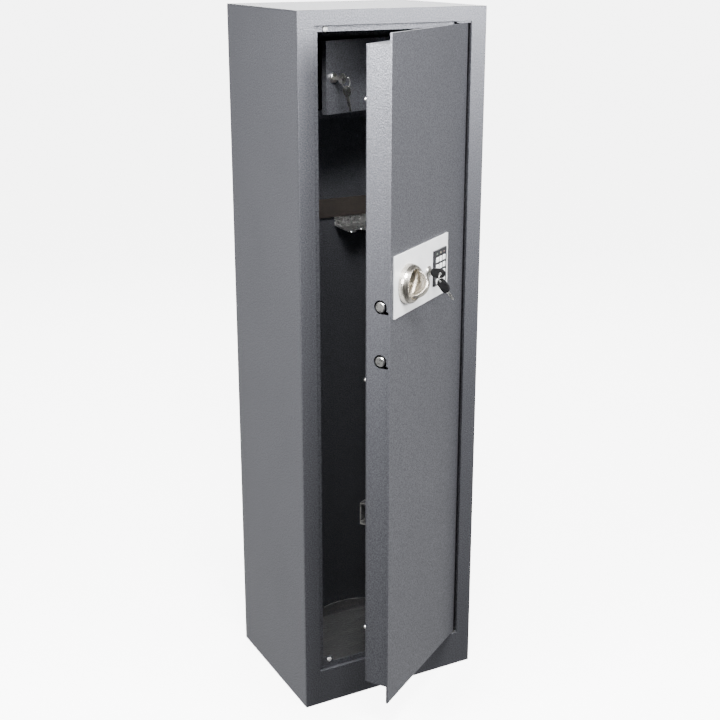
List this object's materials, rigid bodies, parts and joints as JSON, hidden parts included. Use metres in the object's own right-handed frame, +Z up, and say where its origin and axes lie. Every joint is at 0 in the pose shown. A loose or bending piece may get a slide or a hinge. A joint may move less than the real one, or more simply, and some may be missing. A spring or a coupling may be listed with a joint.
{
  "type": "gun safe",
  "caption": "Tall narrow steel gun cabinet with an electronic keypad lock, turning knob, override key, sliding bolts, barrel rest and a lockable inner compartment.",
  "frame": {"origin": "centre of the cabinet's underside, on the floor", "axes": "+Z up, +Y towards the back, +X towards the hinge side (viewer's right from the front)"},
  "size_m": [0.41, 0.5158, 1.45],
  "materials": {
    "textured_paint": "hammered charcoal powder coat, orange-peel texture",
    "zinc_plate": "bright zinc plating",
    "nickel": "satin nickel",
    "lock_plate": "satin silver lacquer",
    "black_plastic": "fine satin moulding",
    "button_white": "matte white keys",
    "dark_rubber": "moulded grey rubber",
    "carpet": "speckled needle-punch carpet"
  },
  "bodies": {
    "cabinet": {"left_side_panel": "textured_paint", "right_side_panel": "textured_paint", "back_panel": "textured_paint", "top_panel": "textured_paint", "floor_panel": "textured_paint", "front_frame": "textured_paint", "top_stop_strip": "textured_paint", "left_stop_strip": "textured_paint", "bottom_stop_strip": "textured_paint", "upper_stop_bumper": "dark_rubber", "lower_stop_bumper": "dark_rubber", "upper_hinge_pin": "zinc_plate", "lower_hinge_pin": "zinc_plate", "floor_carpet": "carpet", "inner_shelf": "textured_paint", "inner_front_frame": "textured_paint", "gun_rack": "zinc_plate"},
    "door": {"door_plate": "textured_paint", "door_box": "textured_paint", "door_back_cover": "textured_paint", "door_bracket": "zinc_plate", "upper_cover_nut": "zinc_plate", "middle_cover_nut": "zinc_plate", "lower_cover_nut": "zinc_plate", "upper_hinge_bush": "zinc_plate", "lower_hinge_bush": "zinc_plate", "lock_panel": "lock_plate", "keypad_housing": "black_plastic", "override_lock_body": "nickel", "knob_rosette": "nickel", "solenoid_body": "black_plastic", "battery_box": "black_plastic"},
    "knob": {"knob": "nickel", "knob_crank": "zinc_plate"},
    "bolts": {"bolt_carriage": "zinc_plate", "upper_locking_bolt": "zinc_plate", "lower_locking_bolt": "zinc_plate"},
    "plunger": {"solenoid_plunger": "zinc_plate"},
    "override_key": {"override_lock_plug": "nickel", "override_key": "black_plastic"},
    "hanging_keys": {"override_key_ring": "nickel", "override_spare_key": "black_plastic"},
    "inner_door": {"inner_door": "textured_paint", "inner_lock_body": "nickel"},
    "inner_key": {"inner_lock_plug": "nickel", "inner_key": "black_plastic"},
    "inner_hanging_keys": {"inner_key_ring": "nickel", "inner_spare_key": "black_plastic"},
    "button_01": {"button_01": "button_white"},
    "button_02": {"button_02": "button_white"},
    "button_03": {"button_03": "button_white"},
    "button_04": {"button_04": "button_white"},
    "button_05": {"button_05": "button_white"},
    "button_06": {"button_06": "button_white"},
    "button_07": {"button_07": "button_white"},
    "button_08": {"button_08": "button_white"},
    "button_09": {"button_09": "button_white"},
    "button_10": {"button_10": "button_white"},
    "button_11": {"button_11": "button_white"},
    "button_12": {"button_12": "button_white"}
  },
  "joints": [
    {"name": "door_swing", "type": "hinge", "parent": "cabinet", "child": "door", "pos_m": [0.156, -0.153, 0.084], "axis": [0, 0, 1], "range_deg": [-33.7, 66.3]},
    {"name": "inner_door_swing", "type": "hinge", "parent": "cabinet", "child": "inner_door", "pos_m": [0.165, 0.029, 1.2435], "axis": [0, 0, 1], "range_deg": [-18.5, 25]},
    {"name": "knob_turn", "type": "hinge", "parent": "door", "child": "knob", "pos_m": [-0.05265, -0.31054, 0.957], "axis": [0.5548, -0.832, 0], "range_deg": [0, 60]},
    {"name": "locking_bolts", "type": "slide", "parent": "door", "child": "bolts", "axis": [-0.832, -0.5548, 0], "range_m": [0, 0.018]},
    {"name": "plunger_slide", "type": "slide", "parent": "door", "child": "plunger", "axis": [0, 0, 1], "range_m": [0, 0.005], "stiffness_N_per_m": 120, "springref_m": -0.004},
    {"name": "override_key_turn", "type": "hinge", "parent": "door", "child": "override_key", "pos_m": [0.02223, -0.26061, 0.959], "axis": [0.5548, -0.832, 0], "range_deg": [0, 90]},
    {"name": "hanging_key_swing", "type": "hinge", "parent": "override_key", "child": "hanging_keys", "pos_m": [0.03748, -0.28349, 0.959], "axis": [0.832, 0.5548, 0], "range_deg": [-17, 20]},
    {"name": "inner_key_turn", "type": "hinge", "parent": "inner_door", "child": "inner_key", "pos_m": [-0.07502, -0.05131, 1.3147], "axis": [0.3173, -0.9483, 0], "range_deg": [0, 90]},
    {"name": "inner_hanging_key_swing", "type": "hinge", "parent": "inner_key", "child": "inner_hanging_keys", "pos_m": [-0.06471, -0.08213, 1.3202], "axis": [0.9483, 0.3173, 0], "range_deg": [-30, 15]},
    {"name": "press_button_01", "type": "slide", "parent": "door", "child": "button_01", "axis": [-0.5548, 0.832, 0], "range_m": [0, 0.0015], "stiffness_N_per_m": 300, "springref_m": -0.0005},
    {"name": "press_button_02", "type": "slide", "parent": "door", "child": "button_02", "axis": [-0.5548, 0.832, 0], "range_m": [0, 0.0015], "stiffness_N_per_m": 300, "springref_m": -0.0005},
    {"name": "press_button_03", "type": "slide", "parent": "door", "child": "button_03", "axis": [-0.5548, 0.832, 0], "range_m": [0, 0.0015], "stiffness_N_per_m": 300, "springref_m": -0.0005},
    {"name": "press_button_04", "type": "slide", "parent": "door", "child": "button_04", "axis": [-0.5548, 0.832, 0], "range_m": [0, 0.0015], "stiffness_N_per_m": 300, "springref_m": -0.0005},
    {"name": "press_button_05", "type": "slide", "parent": "door", "child": "button_05", "axis": [-0.5548, 0.832, 0], "range_m": [0, 0.0015], "stiffness_N_per_m": 300, "springref_m": -0.0005},
    {"name": "press_button_06", "type": "slide", "parent": "door", "child": "button_06", "axis": [-0.5548, 0.832, 0], "range_m": [0, 0.0015], "stiffness_N_per_m": 300, "springref_m": -0.0005},
    {"name": "press_button_07", "type": "slide", "parent": "door", "child": "button_07", "axis": [-0.5548, 0.832, 0], "range_m": [0, 0.0015], "stiffness_N_per_m": 300, "springref_m": -0.0005},
    {"name": "press_button_08", "type": "slide", "parent": "door", "child": "button_08", "axis": [-0.5548, 0.832, 0], "range_m": [0, 0.0015], "stiffness_N_per_m": 300, "springref_m": -0.0005},
    {"name": "press_button_09", "type": "slide", "parent": "door", "child": "button_09", "axis": [-0.5548, 0.832, 0], "range_m": [0, 0.0015], "stiffness_N_per_m": 300, "springref_m": -0.0005},
    {"name": "press_button_10", "type": "slide", "parent": "door", "child": "button_10", "axis": [-0.5548, 0.832, 0], "range_m": [0, 0.0015], "stiffness_N_per_m": 300, "springref_m": -0.0005},
    {"name": "press_button_11", "type": "slide", "parent": "door", "child": "button_11", "axis": [-0.5548, 0.832, 0], "range_m": [0, 0.0015], "stiffness_N_per_m": 300, "springref_m": -0.0005},
    {"name": "press_button_12", "type": "slide", "parent": "door", "child": "button_12", "axis": [-0.5548, 0.832, 0], "range_m": [0, 0.0015], "stiffness_N_per_m": 300, "springref_m": -0.0005}
  ],
  "couplings": [
    {"joint": "knob_turn", "follows": "locking_bolts", "rad_per_m": 58.177}
  ]
}
